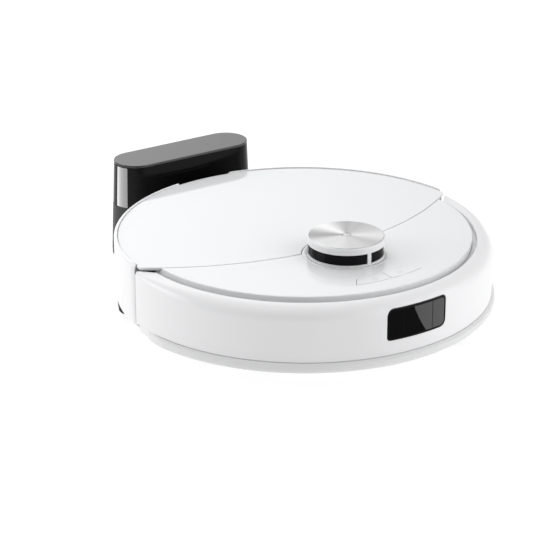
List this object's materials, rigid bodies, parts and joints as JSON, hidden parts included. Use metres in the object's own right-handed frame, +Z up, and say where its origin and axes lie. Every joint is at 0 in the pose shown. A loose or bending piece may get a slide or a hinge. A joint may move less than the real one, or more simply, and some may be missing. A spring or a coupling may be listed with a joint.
{
  "type": "robot vacuum",
  "caption": "Low round robot vacuum with a laser turret, sprung front bumper, lift-off lid, dust bin, drive wheels, brushes and mop plate, standing at its small charging dock.",
  "frame": {"origin": "on the floor, under the middle of the whole footprint: robot and dock", "axes": "+Z up; the robot drives towards -Y; the dock stands behind it at +Y; +X is the robot's left side"},
  "size_m": [0.3548, 0.4158, 0.097],
  "materials": {
    "white_gloss": "glossy white lid, deck and buttons",
    "white_satin": "satin white body shell",
    "soft_white": "soft off-white lip and roller",
    "grey_plastic": "mid grey plastic",
    "dark_plastic": "dark grey plastic",
    "black_matt": "matt black plastic",
    "black_gloss": "black gloss plastic",
    "smoked_window": "infrared window, nearly black",
    "brushed_disc": "radially brushed aluminium",
    "steel": "bare steel",
    "gold_contact": "gold-plated contact",
    "tyre_rubber": "black rubber",
    "circuit_board": "green circuit board",
    "battery_wrap": "blue shrink wrap",
    "mop_cloth": "grey-blue microfibre",
    "filter_paper": "pleated filter",
    "brush_rubber": "dark rubber vanes",
    "smoked_bin": "smoked bin plastic"
  },
  "bodies": {
    "chassis": {"base_pan": "white_satin", "cliff_sensor_front_right": "smoked_window", "cliff_sensor_front_left": "smoked_window", "cliff_sensor_rear_right": "smoked_window", "cliff_sensor_rear_left": "smoked_window", "rear_shell": "white_satin", "charge_contact_right": "steel", "charge_contact_left": "steel", "recharge_window": "black_gloss", "top_deck": "white_gloss", "inner_deck": "white_satin", "obstacle_sensor": "black_matt", "turret_ring": "steel", "lidar_base": "dark_plastic", "left_wheel_well": "dark_plastic", "right_wheel_well": "dark_plastic", "caster_socket": "dark_plastic", "side_brush_motor": "grey_plastic", "bin_bay": "dark_plastic", "blower_housing": "black_matt", "fan_motor": "steel", "battery_pack": "battery_wrap", "main_board": "circuit_board"},
    "bumper": {"bumper_shell": "white_satin", "bumper_skirt": "soft_white", "sensor_window": "black_gloss"},
    "lid": {"lid": "white_gloss"},
    "dust_bin": {"bin_tub": "smoked_bin", "bin_cover": "black_matt", "bin_filter": "filter_paper"},
    "power_button": {"power_button": "white_gloss"},
    "dock_button": {"dock_button": "white_gloss"},
    "lidar_head": {"lidar_rotor": "dark_plastic"},
    "turret": {"turret_cap": "white_satin", "turret_disc": "brushed_disc", "turret_window": "smoked_window"},
    "left_arm": {"left_wheel_arm": "black_matt"},
    "left_wheel": {"left_wheel_hub": "grey_plastic", "left_tyre": "tyre_rubber"},
    "right_arm": {"right_wheel_arm": "black_matt"},
    "right_wheel": {"right_wheel_hub": "grey_plastic", "right_tyre": "tyre_rubber"},
    "caster_fork": {"caster_fork": "black_matt"},
    "caster_wheel": {"caster_wheel": "soft_white"},
    "brush_frame": {"brush_head": "dark_plastic", "brush_cover": "black_matt"},
    "main_brush": {"main_brush": "brush_rubber"},
    "side_brush": {"side_brush": "black_matt"},
    "fan": {"fan_impeller": "grey_plastic"},
    "mop": {"mop_bracket": "black_matt", "mop_pad": "mop_cloth"},
    "dock": {"dock_base": "black_matt", "dock_shell": "black_matt", "dock_window": "black_gloss", "dock_top": "black_gloss", "dock_board": "circuit_board", "dock_inlet": "black_matt"},
    "dock_contact_right": {"dock_contact_right": "gold_contact"},
    "dock_contact_left": {"dock_contact_left": "gold_contact"}
  },
  "joints": [
    {"name": "bumper_press", "type": "slide", "parent": "chassis", "child": "bumper", "axis": [0, 1, 0], "range_m": [0, 0.0035], "stiffness_N_per_m": 400, "springref_m": -0.003},
    {"name": "lid_lift", "type": "slide", "parent": "chassis", "child": "lid", "axis": [0, 0, 1], "range_m": [0, 0.14]},
    {"name": "bin_lift", "type": "slide", "parent": "chassis", "child": "dust_bin", "axis": [0, 0, 1], "range_m": [0, 0.077]},
    {"name": "power_press", "type": "slide", "parent": "chassis", "child": "power_button", "axis": [0, 0, -1], "range_m": [0, 0.0006], "stiffness_N_per_m": 300, "springref_m": -0.002},
    {"name": "dock_press", "type": "slide", "parent": "chassis", "child": "dock_button", "axis": [0, 0, -1], "range_m": [0, 0.0006], "stiffness_N_per_m": 300, "springref_m": -0.002},
    {"name": "lidar_spin", "type": "hinge", "parent": "chassis", "child": "lidar_head", "pos_m": [0, -0.0976, 0.08], "axis": [0, 0, 1], "continuous": true},
    {"name": "turret_press", "type": "slide", "parent": "chassis", "child": "turret", "axis": [0, 0, -1], "range_m": [0, 0.0015], "stiffness_N_per_m": 1500, "springref_m": -0.002},
    {"name": "left_suspension", "type": "hinge", "parent": "chassis", "child": "left_arm", "pos_m": [0.099, -0.075, 0.038], "axis": [1, 0, 0], "range_deg": [-30, 0], "stiffness_Nm_per_rad": 0.2, "springref_deg": -51.57},
    {"name": "left_wheel_spin", "type": "hinge", "parent": "left_arm", "child": "left_wheel", "pos_m": [0.121, -0.03, 0.035], "axis": [1, 0, 0], "continuous": true},
    {"name": "right_suspension", "type": "hinge", "parent": "chassis", "child": "right_arm", "pos_m": [-0.099, -0.075, 0.038], "axis": [1, 0, 0], "range_deg": [-30, 0], "stiffness_Nm_per_rad": 0.2, "springref_deg": -51.57},
    {"name": "right_wheel_spin", "type": "hinge", "parent": "right_arm", "child": "right_wheel", "pos_m": [-0.121, -0.03, 0.035], "axis": [1, 0, 0], "continuous": true},
    {"name": "caster_swivel", "type": "hinge", "parent": "chassis", "child": "caster_fork", "pos_m": [0, -0.157, 0.02], "axis": [0, 0, 1], "continuous": true},
    {"name": "caster_spin", "type": "hinge", "parent": "caster_fork", "child": "caster_wheel", "pos_m": [0, -0.154, 0.013], "axis": [1, 0, 0], "continuous": true},
    {"name": "brush_float", "type": "hinge", "parent": "chassis", "child": "brush_frame", "pos_m": [0, -0.017, 0.02], "axis": [1, 0, 0], "range_deg": [0, 3]},
    {"name": "main_brush_spin", "type": "hinge", "parent": "brush_frame", "child": "main_brush", "pos_m": [0, 0.008, 0.024], "axis": [1, 0, 0], "continuous": true},
    {"name": "side_brush_spin", "type": "hinge", "parent": "chassis", "child": "side_brush", "pos_m": [0.083, -0.124, 0.012], "axis": [0, 0, 1], "continuous": true},
    {"name": "fan_spin", "type": "hinge", "parent": "chassis", "child": "fan", "pos_m": [0.077, 0.074, 0.045], "axis": [1, 0, 0], "continuous": true},
    {"name": "mop_pull", "type": "slide", "parent": "chassis", "child": "mop", "axis": [0, 0, -1], "range_m": [0, 0.03]},
    {"name": "undock", "type": "slide", "parent": "chassis", "child": "dock", "axis": [0, 1, 0], "range_m": [0, 0.15]},
    {"name": "contact_right_press", "type": "slide", "parent": "dock", "child": "dock_contact_right", "axis": [0, 1, 0], "range_m": [0, 0.002], "stiffness_N_per_m": 500, "springref_m": -0.002},
    {"name": "contact_left_press", "type": "slide", "parent": "dock", "child": "dock_contact_left", "axis": [0, 1, 0], "range_m": [0, 0.002], "stiffness_N_per_m": 500, "springref_m": -0.002}
  ],
  "couplings": [
    {"joint": "bin_lift", "follows": "lid_lift", "ratio": 0.55}
  ]
}
